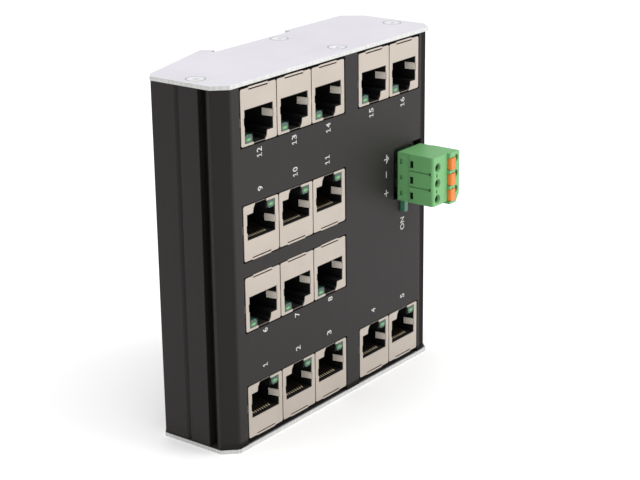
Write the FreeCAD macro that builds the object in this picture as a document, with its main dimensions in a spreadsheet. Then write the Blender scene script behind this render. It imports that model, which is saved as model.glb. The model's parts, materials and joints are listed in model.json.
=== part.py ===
"""Sixteen-port network switch for a DIN rail, as a parametric FreeCAD document.

Frame: +Z up, front towards -Y. The origin lies midway between the sides, on the surface that
the lower end plate stands on, 25.5 mm in front of the rail hook's highest line. The case is
extruded along Z, and so is the rail slot in its back. In service the +X side points down and
the rail lies across the case, along Z.
"""
import FreeCAD, Part
import os
import re
import Sketcher
from FreeCAD import Placement, Rotation, Vector

doc = FreeCAD.newDocument("rail_switch")
Sizes = doc.addObject("Spreadsheet::Sheet", "Sizes")
parts = []          # the labelled sub-parts, in the order they are made


# ---- driving dimensions, in millimetres -------------------------------------------------

def fill_sheet(rows):
    """Write alias, value and meaning in one row of the sheet for each driving dimension."""
    for number, (alias, value, meaning) in enumerate(rows, start=1):
        Sizes.set("A%d" % number, alias)
        Sizes.set("B%d" % number, str(value))
        Sizes.set("C%d" % number, meaning)
        Sizes.setAlias("B%d" % number, alias)
    doc.recompute()


fill_sheet([
    # case
    ("case_width", 104.0, "end plate, side to side"),
    ("plate_thick", 1.2, "end plate sheet"),
    ("shell_height", 107.0, "extrusion between the end plates"),
    ("overhang", 0.3, "end plate proud of the extrusion"),
    ("plate_front", -11.5, "front edge of the end plates, Y"),
    ("plateau_back", 22.5, "back of the end plates beside the rail slot, Y"),
    ("bevel_across", 4.0, "front corner bevel, along X"),
    ("bevel_deep", 4.3, "front corner bevel, along Y"),
    ("bevel_round", 1.5, "rounding of the front left bevel's edges"),
    ("heel_across", 4.6, "back right bevel, along X"),
    ("heel_deep", 6.2, "back right bevel, along Y"),
    ("wall", 2.0, "side wall"),
    ("panel_thick", 2.2, "front panel"),
    ("shoulder_across", 4.2, "shallow fall of the panel's right edge, along X"),
    ("shoulder_deep", 0.8, "shallow fall of the panel's right edge, along Y"),
    ("parting_front", -5.9, "front cover's side edge, Y"),
    ("parting_back", -2.7, "rear shell's side edge, Y"),
    ("leg_face", 48.7, "outer face of the cover's inner leg, X"),
    ("leg_thick", 1.2, "cover's inner leg"),
    ("leg_end", -1.1, "back end of the inner leg, Y"),
    ("vee_place", 5.1, "decorative V-groove in the side, Y"),
    ("vee_deep", 0.8, "V-groove depth"),
    # rail slot
    ("slot_left", -17.8, "rail slot, wall under the fixed hook, X"),
    ("slot_right", 18.5, "rail slot, wall at the latch, X"),
    ("slot_floor", 20.3, "rail slot floor, Y"),
    ("hook_under", 21.6, "underside of the fixed hook, Y"),
    ("hook_tip", -16.0, "tip of the fixed hook, X"),
    ("hook_tip_back", 22.3, "top of the hook's tip, Y"),
    ("hook_peak", -18.1, "hook's highest line, X"),
    ("hook_back", 25.5, "hook's highest line, Y"),
    ("slope_foot", -49.2, "foot of the hook's long slope, X"),
    ("slope_foot_back", 16.8, "foot of the hook's long slope, Y"),
    ("corner_back", 14.5, "back left corner, Y"),
    ("inner_back", 17.6, "inside of the back wall, Y"),
    # screws
    ("side_screw", 47.1, "side screw channels, X"),
    ("side_screw_back", 1.8, "side screw channels, Y"),
    ("mid_screw", 7.9, "middle screw channels, X"),
    ("front_screw_back", -5.7, "screw channel behind the panel, Y"),
    ("rear_screw_back", 16.3, "screw channel inside the back wall, Y"),
    ("channel_half", 2.7, "half a screw channel's side"),
    ("port_radius", 1.62, "eight-sided screw port, middle to corner"),
    ("head_radius", 2.7, "countersunk head"),
    ("head_angle", 45, "slope of the countersunk head, degrees"),
    ("head_gap", 0.05, "countersunk head to its seat"),
    ("shank_radius", 1.45, "thread-forming shank, middle to corner"),
    ("screw_length", 8.0, "screw, with its head"),
    ("socket_radius", 1.2, "hexagon socket, middle to corner"),
    ("socket_deep", 0.9, "hexagon socket"),
    # jacks
    ("jack_pitch", 16.0, "one jack to the next, along X"),
    ("jack_width", 15.65, "shield, along X"),
    ("jack_height", 16.35, "shield, along Z"),
    ("jack_deep", 15.9, "jack, from its face to the board"),
    ("sheet", 0.3, "shield's metal"),
    ("corner_cut", 0.4, "cut corner of a shield"),
    ("seam_gap", 0.35, "open seam of the shield's folded edge"),
    ("seam_half", 4.2, "half the open seam, along X"),
    ("seam_lip", 0.25, "folded lip proud of the shield's edge"),
    ("group_a", -35.9, "middle of the first column, X"),
    ("group_b", 19.1, "middle of the fourth column, X"),
    ("row_1", 90.95, "lower edge of the top row, Z"),
    ("row_2", 57.48, "lower edge of the second row, Z"),
    ("row_3", 36.17, "lower edge of the third row, Z"),
    ("row_4", 2.9, "lower edge of the bottom row, Z"),
    ("cutout_gap", 0.35, "panel cut-out round a jack"),
    ("mouth_half", 6.25, "half the shield's opening, along X"),
    ("mouth_low", 2.7, "opening's step beside the latch slot"),
    ("mouth_high", 10.35, "opening's edge at the blank end"),
    ("latch_half", 2.45, "half the latch slot at the jack's edge"),
    ("latch_half_wide", 3.6, "half the latch slot at the step"),
    ("rim", 0.7, "shield's rim below the light pipe"),
    ("finger_low", 5.9, "spring finger, lower edge"),
    ("finger_high", 8.1, "spring finger, upper edge"),
    ("finger_root", 6.85, "finger's outer face at the mouth, X"),
    ("finger_tip", 6.15, "finger's outer face at its tip, X"),
    ("finger_long", 3.8, "finger, into the jack"),
    ("plug_half", 5.95, "half the plug cavity, along X"),
    ("plug_low", 3.05, "plug cavity, latch side"),
    ("plug_high", 10.1, "plug cavity, contact side"),
    ("plug_deep", 11.6, "plug cavity, from the jack's face"),
    ("pipe_wall", 0.45, "moulding between the light pipe and the latch slot"),
    ("pipe_high", 3.1, "light pipe's far edge"),
    ("pipe_deep", 2.4, "light pipe, from the jack's face"),
    ("contact_pitch", 1.02, "one contact to the next"),
    ("contact_width", 0.46, "contact spring"),
    ("contact_root", 1.5, "contact's root, from the jack's face"),
    ("contact_tip", 8.2, "contact's tip, from the jack's face"),
    ("contact_rise", 2.4, "contact's tip above the cavity's wall"),
    # supply connector
    ("pole_pitch", 5.08, "one pole to the next"),
    ("pole_mid", 64.75, "middle pole, Z"),
    ("plug_left", 31.15, "plug's left face, X"),
    ("plug_right", 44.3, "plug's right face, X"),
    ("plug_tall", 15.7, "plug housing, along Z"),
    ("plug_front", -25.0, "plug's front face at the wire entries, Y"),
    ("plug_round", 0.9, "rounding of the plug's front left edge"),
    ("guard_front", -26.05, "plug's raised front round the release buttons, Y"),
    ("guard_left", 39.0, "left side of the raised front, X"),
    ("guard_cut", 1.8, "raised front's cut lower corner"),
    ("plug_back", -11.35, "plug's shoulder in front of the panel, Y"),
    ("plug_step", -15.95, "step in the plug's side faces, Y"),
    ("shank_left", 34.2, "plug's shank inside the header, X"),
    ("shank_right", 42.5, "plug's shank inside the header, X"),
    ("shank_tall", 14.3, "plug's shank, along Z"),
    ("shank_end", -0.9, "end of the plug's shank, Y"),
    ("fit_gap", 0.3, "shank to header"),
    ("header_left", 32.6, "header, X"),
    ("header_right", 44.1, "header, X"),
    ("header_tall", 17.0, "header, along Z"),
    ("header_front", -8.8, "header's mouth, Y"),
    ("header_window", 1.65, "panel window beside the plug and above it"),
    ("entry_across", 33.7, "wire entries, X"),
    ("entry_drop", 0.7, "wire entry below its pole's middle"),
    ("entry_flare", 0.45, "mouth of a wire entry wider than its bore"),
    ("entry_deep", 1.2, "tapered mouth of a wire entry, from the plug's face"),
    ("wire_radius", 1.05, "bore of a wire entry"),
    ("wire_deep", 8.0, "bore of a wire entry, from the plug's face"),
    ("button_left", 39.35, "release button, X"),
    ("button_right", 42.1, "release button, X"),
    ("button_tall", 3.7, "release button, along Z"),
    ("button_front", -26.5, "release button's ridge, Y"),
    ("button_back", -15.6, "back of the release button, Y"),
    ("button_gap", 0.15, "button to housing"),
    ("button_drop", 0.8, "button below its pole's middle"),
    ("led_left", 33.5, "power light, X"),
    ("led_right", 35.4, "power light, X"),
    ("led_low", 52.6, "power light, Z"),
    ("led_tall", 3.5, "power light, along Z"),
    # board
    ("board_front", 4.7, "front of the circuit board, Y"),
    ("board_thick", 1.6, "circuit board"),
    ("board_half", 49.4, "half the circuit board, along X"),
    # rail latch
    ("latch_mid", 54.7, "middle of the latch, Z"),
    ("latch_wide", 19.4, "latch, along Z"),
    ("latch_front", 19.35, "latch plate's inner face, Y"),
    ("latch_thick", 2.5, "latch plate"),
    ("latch_end", 47.0, "latch's outer end, X"),
    ("nose_tip", 16.1, "latch's nose over the rail's lip, X"),
    ("recess_deep", 3.0, "latch recess in the plateau"),
    ("latch_travel", 3.0, "how far the latch slides to free the rail"),
    ("guide_place", 27.0, "guide screw, X"),
    ("guide_radius", 1.25, "guide screw's shank"),
    ("guide_head", 2.5, "guide screw's hexagon head, middle to corner"),
    ("spring_start", 31.0, "spring's seat in the slide, X"),
    ("spring_end", 37.2, "spring's seat on the fixed stop, X"),
    ("spring_wide", 3.6, "flat serpentine spring, along Z"),
])


# ---- modelling helpers -------------------------------------------------------------------

def named(text):
    """An expression in which each word that the sheet knows is read from the sheet."""
    def place(word):
        return "Sizes." + word[0] if Sizes.getCellFromAlias(word[0]) else word[0]

    return re.sub(r"[a-z]\w*", place, text)


def value(formula):
    """The number that an expression comes to."""
    return Sizes.evalExpression(named(formula))


def add_polygon(sketch, corners):
    """Closed polygon with every corner's two coordinates bound to its expressions."""
    corners = [(named(x), named(y)) for x, y in corners]
    places = [Vector(sketch.evalExpression(x), sketch.evalExpression(y), 0) for x, y in corners]
    first = sketch.GeometryCount
    count = len(places)
    for here, there in zip(places, places[1:] + places[:1]):
        sketch.addGeometry(Part.LineSegment(here, there))
    for side in range(count):
        after = first + (side + 1) % count
        sketch.addConstraint(Sketcher.Constraint("Coincident", first + side, 2, after, 1))
    for corner, (pair, place) in enumerate(zip(corners, places)):
        for kind, formula, value in zip(("DistanceX", "DistanceY"), pair, place):
            rule = Sketcher.Constraint(kind, -1, 1, first + corner, 1, value)
            sketch.setExpression("Constraints[%d]" % sketch.addConstraint(rule), formula)


def add_circle(sketch, across, up, radius):
    """Circle with its centre and radius bound to expressions."""
    across, up, radius = named(across), named(up), named(radius)
    centre = Vector(sketch.evalExpression(across), sketch.evalExpression(up), 0)
    ring = sketch.addGeometry(Part.Circle(centre, Vector(0, 0, 1), sketch.evalExpression(radius)))
    for rule, formula in (
            (Sketcher.Constraint("DistanceX", -1, 1, ring, 3, centre.x), across),
            (Sketcher.Constraint("DistanceY", -1, 1, ring, 3, centre.y), up),
            (Sketcher.Constraint("Radius", ring, sketch.evalExpression(radius)), radius)):
        sketch.setExpression("Constraints[%d]" % sketch.addConstraint(rule), formula)


def rectangle(left, right, low, high):
    """Corner expressions of a rectangle."""
    return [(left, low), (right, low), (right, high), (left, high)]


ROUND = 24                  # flat sides that stand for the circle of a countersunk head
UP, BACK = Vector(0, 0, 1), Vector(0, 1, 0)


def facets(across, up, radius, sides):
    """Corner expressions of a regular polygon with a flat side to each axis."""
    turns = [360.0 * (side + 0.5) / sides for side in range(sides)]
    return [("%s + (%s) * cos(%g)" % (across, radius, turn), "%s + (%s) * sin(%g)" % (up, radius, turn))
            for turn in turns]


def mirrored(corners):
    """The same corners on the other side of the sketch's vertical axis."""
    return [("0 - (%s)" % x, y) for x, y in reversed(corners)]


def new_body(label):
    """A body that is a sub-part under its own name."""
    body = doc.addObject("PartDesign::Body", label)
    body.Label = label
    parts.append(body)
    return body


def new_sketch(body, name, plane, start):
    """Sketch parallel to one of the body's origin planes, at a distance along its axis."""
    sketch = body.newObject("Sketcher::SketchObject", name)
    support = next(o for o in body.Origin.OriginFeatures if o.Role == plane + "_Plane")
    sketch.AttachmentSupport = [(support, "")]
    sketch.MapMode = "FlatFace"
    away = named(start)
    sketch.setExpression("AttachmentOffset.Base.z", "-1 * (%s)" % away if plane == "XZ" else away)
    return sketch


def extrude(body, name, plane, start, length, outlines=(), circles=(), cut=False):
    """Pad, or pocket, from start towards + on the axis across the sketch plane."""
    sketch = new_sketch(body, name + "_sketch", plane, start)
    for corners in outlines:
        add_polygon(sketch, corners)
    for ring in circles:
        add_circle(sketch, *ring)
    feature = body.newObject("PartDesign::Pocket" if cut else "PartDesign::Pad", name)
    feature.Profile = sketch
    feature.Type = 0
    feature.setExpression("Length", named(length))
    feature.Reversed = (plane == "XZ") != cut
    sketch.Visibility = False
    return feature


def cut(body, name, plane, start, length, outlines=(), circles=()):
    """Pocket from start towards + on the axis across the sketch plane."""
    return extrude(body, name, plane, start, length, outlines, circles, cut=True)


def repeat(body, name, features, axis, pitch, count):
    """Linear pattern of features along one of the body's origin axes."""
    pattern = body.newObject("PartDesign::LinearPattern", name)
    pattern.Originals = features
    direction = next(o for o in body.Origin.OriginFeatures if o.Role == axis + "_Axis")
    pattern.Direction = (direction, [""])
    pattern.setExpression("Length", named("%s * %d" % (pitch, count - 1)))
    pattern.Occurrences = count
    body.Tip = pattern
    return pattern


def slope_walls(body, name, feature, axis, centres, reach, angle, back=False):
    """Tilt the upright walls round each centre, from their edges on the centres' flat face.

    Material falls away along the axis, or against it with back.
    """
    doc.recompute()
    level, near = centres[0].dot(axis), value(reach)
    walls, flats = [], []
    for number, face in enumerate(feature.Shape.Faces, start=1):
        middle = face.CenterOfMass
        if abs(face.normalAt(0, 0).dot(axis)) > 0.5:
            if abs(middle.dot(axis) - level) < 0.01:
                flats.append("Face%d" % number)
        elif any(middle.distanceToPoint(centre) < near for centre in centres):
            walls.append("Face%d" % number)
    slope = body.newObject("PartDesign::Draft", name)
    slope.Base = (feature, walls)
    slope.NeutralPlane = (feature, flats[:1])
    slope.setExpression("Angle", named(angle))
    slope.Reversed = back
    return slope


def edges_through(shape, *points):
    """Names of the edges that pass through the given points."""
    names = []
    for number, edge in enumerate(shape.Edges, start=1):
        if any(edge.distToShape(Part.Vertex(point))[0] < 0.01 for point in points):
            names.append("Edge%d" % number)
    return names


def part_object(kind, label, where=None, **sizes):
    """Part primitive whose sizes, and optionally place, are bound to expressions."""
    thing = doc.addObject("Part::" + kind, label)
    for name, formula in sizes.items():
        thing.setExpression(name, named(formula))
    for axis, formula in zip("xyz", where or ()):
        thing.setExpression("Placement.Base." + axis, named(formula))
    return thing


def join(kind, label, things):
    """Part boolean or compound over several objects."""
    thing = doc.addObject("Part::" + kind, label)
    if kind == "Cut":
        thing.Base, thing.Tool = things
    elif kind == "Compound":
        thing.Links = things
    else:
        thing.Shapes = things
    thing.Label = label
    return thing


# ---- extruded case -----------------------------------------------------------------------

def back_outline(inset):
    """Back of the case from the right heel round the rail slot and hook to the left corner."""
    return [
        ("case_width / 2 - " + inset, "plateau_back - heel_deep"),
        ("case_width / 2 - heel_across - " + inset, "plateau_back - " + inset),
        ("slot_right", "plateau_back - " + inset),
        ("slot_right", "slot_floor"),
        ("slot_left", "slot_floor"),
        ("slot_left", "hook_under"),
        ("hook_tip", "hook_under"),
        ("hook_tip", "hook_tip_back - " + inset),
        ("hook_peak", "hook_back - " + inset),
        ("slope_foot + " + inset, "slope_foot_back - " + inset),
        ("0 - case_width / 2 + " + inset, "corner_back"),
    ]


def build_front_cover():
    body = new_body("front_cover")
    side = "case_width / 2 - overhang"
    face = "plate_front + overhang"
    inner = "leg_face - leg_thick"
    leg = [(side, "parting_front"), ("leg_face", "parting_front"), ("leg_face", "leg_end"),
           (inner, "leg_end"), (inner, face + " + panel_thick")]
    front = [("0 - (%s)" % side, "plate_front + bevel_deep"),
             ("0 - (case_width / 2 - bevel_across)", face),
             ("case_width / 2 - bevel_across - shoulder_across", face),
             ("case_width / 2 - bevel_across", face + " + shoulder_deep"),
             (side, "plate_front + bevel_deep")]
    block = extrude(body, "section", "XY", "plate_thick", "shell_height", [front + leg + mirrored(leg)])
    doc.recompute()
    middle = value("plate_thick + shell_height / 2")
    edges = [Vector(value("bevel_across - case_width / 2"), value(face), middle),
             Vector(value("overhang - case_width / 2"), value("plate_front + bevel_deep"), middle)]
    rounding = body.newObject("PartDesign::Fillet", "bevel_rounding")
    rounding.Base = (block, edges_through(block.Shape, *edges))
    rounding.setExpression("Radius", named("bevel_round"))
    boss = rectangle("mid_screw - channel_half", "mid_screw + channel_half",
                     face + " + panel_thick - 0.1", "front_screw_back + channel_half")
    extrude(body, "screw_channel", "XY", "plate_thick", "shell_height", [boss])
    cut(body, "screw_port", "XY", "plate_thick", "shell_height", 
        [facets("mid_screw", "front_screw_back", "port_radius", 8)])
    a_left = "group_a - jack_pitch / 2 - cutout_gap"
    a_right = "group_a + jack_pitch * 2.5 + cutout_gap"
    b_left = "group_b - jack_pitch / 2 - cutout_gap"
    b_right = "group_b + jack_pitch * 1.5 + cutout_gap"
    top_end = "plate_thick + shell_height + 1"
    above = " + jack_height + cutout_gap"
    windows = [
        rectangle(a_left, a_right, "row_1 - cutout_gap", top_end),
        rectangle(b_left, b_right, "row_1 - cutout_gap", top_end),
        rectangle(a_left, a_right, "row_2 - cutout_gap", "row_2" + above),
        rectangle(a_left, a_right, "row_3 - cutout_gap", "row_3" + above),
        rectangle(a_left, a_right, "0", "row_4" + above),
        rectangle(b_left, b_right, "0", "row_4" + above),
        rectangle("plug_left - header_window", "header_right + header_window / 2",
                  "pole_mid - header_tall / 2 + 0.95", "pole_mid + header_tall / 2 + 0.85"),
        rectangle("led_left - 0.15", "led_right + 0.15", "led_low - 0.15", "led_low + led_tall + 0.1"),
    ]
    cut(body, "windows", "XZ", "plate_front - 1", "panel_thick + 2", windows)


def build_rear_shell():
    body = new_body("rear_shell")
    side = "case_width / 2 - overhang"
    inner = "case_width / 2 - overhang - wall"
    vee = [(side, "vee_place - vee_deep"), (side + " - vee_deep", "vee_place"),
           (side, "vee_place + vee_deep")]
    lip = [(inner, "parting_back + 1.2"), ("leg_face", "parting_back + 1.2"),
           ("leg_face", "parting_back"), (side, "parting_back")]
    ledge = [(inner, "board_front + board_thick + 1.3"),
             (inner + " - 1.5", "board_front + board_thick + 1.3"),
             (inner + " - 1.5", "board_front + board_thick + 0.1"),
             (inner, "board_front + board_thick + 0.1")]
    cavity_back = [("0 - (%s)" % inner, "corner_back - 1.0"), ("slope_foot + 2.0", "corner_back + 0.4"),
                   ("slope_foot + 11.5", "inner_back"),
                   ("case_width / 2 - heel_across - 1.2", "inner_back"), (inner, "corner_back + 0.4")]
    section = (lip + vee + back_outline("overhang") + mirrored(vee) + mirrored(lip)
               + mirrored(ledge) + cavity_back + ledge)
    extrude(body, "section", "XY", "plate_thick", "shell_height", [section])
    side_boss = rectangle("side_screw - channel_half", inner + " + 0.1",
                          "side_screw_back - channel_half", "side_screw_back + channel_half")
    mid_boss = rectangle("mid_screw - channel_half", "mid_screw + channel_half",
                         "rear_screw_back - channel_half", "inner_back + 0.1")
    for number, boss in enumerate((side_boss, mirrored(side_boss), mid_boss), start=1):
        extrude(body, "screw_channel_%d" % number, "XY", "plate_thick", "shell_height", [boss])
    cut(body, "screw_ports", "XY", "plate_thick", "shell_height",
        [facets("side_screw", "side_screw_back", "port_radius", 8),
         facets("0 - side_screw", "side_screw_back", "port_radius", 8),
         facets("mid_screw", "rear_screw_back", "port_radius", 8)])
    hollow = [("slope_foot + 16.5", "inner_back + 2.0"), ("slot_left - 2.4", "inner_back + 2.0"),
              ("slot_left - 2.4", "hook_back - 3.0")]
    cut(body, "hook_hollow", "XY", "plate_thick", "shell_height", [hollow])
    floor = "plateau_back - overhang - recess_deep"
    recess = rectangle("slot_right - 1", "case_width / 2",
                       "latch_mid - latch_wide / 2 - 0.3", "latch_mid + latch_wide / 2 + 0.3")
    stop = rectangle("spring_end", "spring_end + 1.8", "latch_mid - 1.8", "latch_mid + 1.8")
    cut(body, "latch_recess", "XZ", floor, "recess_deep + 1", [recess, stop])
    cut(body, "stop_top", "XZ", floor + " + 2.2", "2",
        [rectangle("spring_end - 1", "spring_end + 2.8", "latch_mid - 2.8", "latch_mid + 2.8")])
    cut(body, "guide_screw_bore", "XZ", "inner_back - 1", "recess_deep",
        circles=[("guide_place", "latch_mid", "guide_radius")])


def build_end_plate(label, low, head_up):
    """End plate with a countersunk hole over each of the four screw channels."""
    body = new_body(label)
    front = [
        ("0 - case_width / 2", "plate_front + bevel_deep"),
        ("0 - (case_width / 2 - bevel_across)", "plate_front"),
        ("case_width / 2 - bevel_across", "plate_front"),
        ("case_width / 2", "plate_front + bevel_deep"),
    ]
    extrude(body, "sheet", "XY", low, "plate_thick", [front + back_outline("0")])
    mouths = [facets(across, back, "head_radius + head_gap", ROUND) for across, back in screw_places()]
    holes = cut(body, "screw_holes", "XY", low, "plate_thick", mouths)
    outside = value(low + " + plate_thick" if head_up else low)
    centres = [Vector(value(across), value(back), outside) for across, back in screw_places()]
    slope_walls(body, "countersinks", holes, UP, centres, "head_radius + 0.5", "head_angle", not head_up)


def screw_places():
    """The four screw channels, as pairs of expressions."""
    return [("0 - side_screw", "side_screw_back"), ("side_screw", "side_screw_back"),
            ("mid_screw", "front_screw_back"), ("mid_screw", "rear_screw_back")]


def build_plate_screws(label, face, up):
    """Four countersunk thread-forming screws with hexagon sockets, heads flush with the plate."""
    screws = []
    for number, (across, back) in enumerate(screw_places(), start=1):
        # drawn point up from the head's face, then turned over for the top plate
        body = doc.addObject("PartDesign::Body", "%s_%d" % (label, number))
        head = extrude(body, "head", "XY", "0", "head_radius - shank_radius - head_gap",
                       [facets("0", "0", "head_radius", ROUND)])
        slope_walls(body, "cone", head, UP, [Vector()], "head_radius + 0.5", "head_angle")
        extrude(body, "shank", "XY", "0", "screw_length", [facets("0", "0", "shank_radius", 6)])
        cut(body, "socket", "XY", "0", "socket_deep", [facets("0", "0", "socket_radius", 6)])
        body.Placement.Rotation = Rotation(Vector(1, 0, 0), 180 if up else 0)
        for axis, formula in zip("xyz", (across, back, face)):
            body.setExpression("Placement.Base." + axis, named(formula))
        screws.append(body)
    parts.append(join("Compound", label, screws))


# ---- shielded jacks ----------------------------------------------------------------------

def jack_places():
    """Port number, middle of the jack along X, row's lower edge and whether it is turned over."""
    rows = [("row_1", (12, 13, 14, 15, 16), False), ("row_2", (9, 10, 11), True),
            ("row_3", (6, 7, 8), False), ("row_4", (1, 2, 3, 4, 5), True)]
    for row, numbers, turned in rows:
        for column, number in enumerate(numbers):
            if column < 3:
                across = "group_a + jack_pitch * %d" % column
            else:
                across = "group_b + jack_pitch * %d" % (column - 3)
            yield number, across, row, turned


def place_in_jack(thing, across, row, turned):
    """Move a piece drawn in the jack's own frame to its port, turned over in rows 2 and 4.

    The jack's own frame has X across, Y into the case from the shield's face, and Z up from
    the edge that has the latch slot.
    """
    thing.Placement.Rotation = Rotation(Vector(0, 1, 0), 180 if turned else 0)
    base = row + " + jack_height" if turned else row
    for axis, formula in zip("xyz", (across, "plate_front + overhang", base)):
        thing.setExpression("Placement.Base." + axis, named(formula))


def build_shield(number):
    """Folded shield: an open-backed box, its stepped opening, open seam and two spring fingers."""
    body = new_body("jack_%02d_shield" % number)
    half = "jack_width / 2"
    cut_corners = [("0 - " + half + " + corner_cut", "0"), (half + " - corner_cut", "0"),
                   (half, "corner_cut"), (half, "jack_height - corner_cut"),
                   (half + " - corner_cut", "jack_height"), ("0 - " + half + " + corner_cut", "jack_height"),
                   ("0 - " + half, "jack_height - corner_cut"), ("0 - " + half, "corner_cut")]
    extrude(body, "box", "XZ", "0", "jack_deep - 0.1", [cut_corners])
    cut(body, "inside", "XZ", "sheet", "jack_deep",
        [rectangle("sheet - " + half, half + " - sheet", "sheet", "jack_height - sheet")])
    notch = [("mouth_half", "finger_low"), ("finger_root", "finger_low"),
             ("finger_root", "finger_high"), ("mouth_half", "finger_high")]
    opening = [("latch_half", "0 - 1"), ("latch_half", "0"), ("latch_half_wide - 0.3", "1.2"),
               ("latch_half_wide", "mouth_low"), ("mouth_half", "mouth_low")] + notch + [
        ("mouth_half", "mouth_high"), ("0 - mouth_half", "mouth_high")] + mirrored(notch) + [
        ("0 - mouth_half", "rim"), ("0 - latch_half", "rim"), ("0 - latch_half", "0 - 1")]
    seam_high = "jack_height - sheet"
    seam = rectangle("0 - seam_half", "seam_half", seam_high + " - seam_gap", seam_high)
    cut(body, "opening_and_seam", "XZ", "0 - 1", "sheet + 1", [opening, seam])
    extrude(body, "seam_lip", "XZ", "0", "sheet",
            [rectangle("0 - seam_half", "seam_half", seam_high, "jack_height + seam_lip")])
    finger = [("finger_root - sheet", "0"), ("finger_root", "0"),
              ("finger_tip", "finger_long"), ("finger_tip - sheet", "finger_long")]
    for name, corners in (("finger_right", finger), ("finger_left", mirrored(finger))):
        extrude(body, name, "XY", "finger_low", "finger_high - finger_low", [corners])
    return body


def build_insert(number):
    """Black moulding inside the shield, with its plug cavity, latch slot and light pipe's seat."""
    body = new_body("jack_%02d_insert" % number)
    side = "jack_width / 2 - sheet"
    extrude(body, "block", "XZ", "sheet", "jack_deep - sheet",
            [rectangle("0 - (%s)" % side, side, "sheet", "jack_height - sheet - seam_gap")])
    cut(body, "plug_cavity", "XZ", "0", "plug_deep",
        [rectangle("0 - plug_half", "plug_half", "plug_low", "plug_high")])
    latch = [("0 - latch_half", "plug_low + 0.1"), ("0 - latch_half", "0"),
             ("latch_half", "0"), ("latch_half", "1.4"),
             ("latch_half_wide", "1.4"), ("latch_half_wide", "plug_low + 0.1")]
    cut(body, "latch_slot", "XZ", "0", "plug_deep - 2", [latch])
    cut(body, "finger_room", "XZ", "0", "finger_long + 0.6",
        [rectangle("0 - finger_root - 0.15", "finger_root + 0.15",
                   "finger_low - 0.3", "finger_high + 0.3")])
    cut(body, "light_pipe_seat", "XZ", "0", "pipe_deep",
        [rectangle("0 - mouth_half - 0.2", "0 - latch_half - pipe_wall", "rim", "pipe_high + 0.2")])
    return body


def build_light_pipe(number):
    """Clear light pipe in the corner of the jack's mouth, flush with its face."""
    body = doc.addObject("PartDesign::Body", "light_pipe_%02d" % number)
    left, right = "0 - mouth_half + 0.05", "0 - latch_half - pipe_wall"
    face = [(left, "rim"), (right, "rim"), (right, "pipe_high - 0.7"), (right + " - 0.6", "pipe_high"),
            (left + " + 0.6", "pipe_high"), (left, "pipe_high - 0.7")]
    extrude(body, "pipe", "XZ", "0.05", "pipe_deep - 0.05", [face])
    return body


def build_contacts(number):
    """Eight contact springs, rooted in the cavity's wall and rising towards the back."""
    body = doc.addObject("PartDesign::Body", "contacts_%02d" % number)
    spring = [("contact_root", "plug_high"), ("contact_tip", "plug_high - contact_rise"),
              ("contact_root + 1.1", "plug_high")]
    first = extrude(body, "spring", "YZ", "0 - contact_pitch * 3.5 - contact_width / 2",
                    "contact_width", [spring])
    body.AllowCompound = True
    repeat(body, "comb", [first], "X", "contact_pitch", 8)
    return body


def build_jacks():
    pipes, contacts = {}, []
    for number, across, row, turned in jack_places():
        pieces = [build(number) for build in
                  (build_shield, build_insert, build_light_pipe, build_contacts)]
        for piece in pieces:
            place_in_jack(piece, across, row, turned)
        pipes.setdefault(row, []).append(pieces[2])
        contacts.append(pieces[3])
    for row, group in pipes.items():
        parts.append(join("Compound", "port_leds_" + row, group))
    parts.append(join("Compound", "port_contacts", contacts))


# ---- supply connector --------------------------------------------------------------------

def build_header():
    body = new_body("power_header")
    low, high = "pole_mid - header_tall / 2", "pole_mid + header_tall / 2"
    extrude(body, "block", "XZ", "header_front", "board_front - header_front",
            [rectangle("header_left", "header_right", low, high)])
    cut(body, "mouth", "XZ", "header_front - 1", "shank_end + fit_gap + 0.1 - header_front + 1",
        [rectangle("shank_left - fit_gap", "shank_right + fit_gap",
                   "pole_mid - shank_tall / 2 - fit_gap", "pole_mid + shank_tall / 2 + fit_gap")])
    hole = cut(body, "pin_hole", "XZ", "shank_end", "6", [rectangle(*pin_square("0.5"))])
    repeat(body, "pin_holes", [hole], "Z", "pole_pitch", 3)


def pin_square(half):
    """Square about the lowest pole's pin, as rectangle sides."""
    across = "(shank_left + shank_right) / 2"
    up = "pole_mid - pole_pitch"
    return (across + " - " + half, across + " + " + half, up + " - " + half, up + " + " + half)


def build_header_pins():
    pins = []
    for pole in range(3):
        up = "pole_mid + pole_pitch * %d" % (pole - 1)
        pins.append(part_object("Box", "header_pin_%d" % (pole + 1), Length="1", Height="1",
                                Width="board_front + board_thick + 0.8 - header_front - 2",
                                where=("(shank_left + shank_right) / 2 - 0.5", "header_front + 2",
                                       up + " - 0.5")))
    parts.append(join("Compound", "header_pins", pins))


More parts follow.
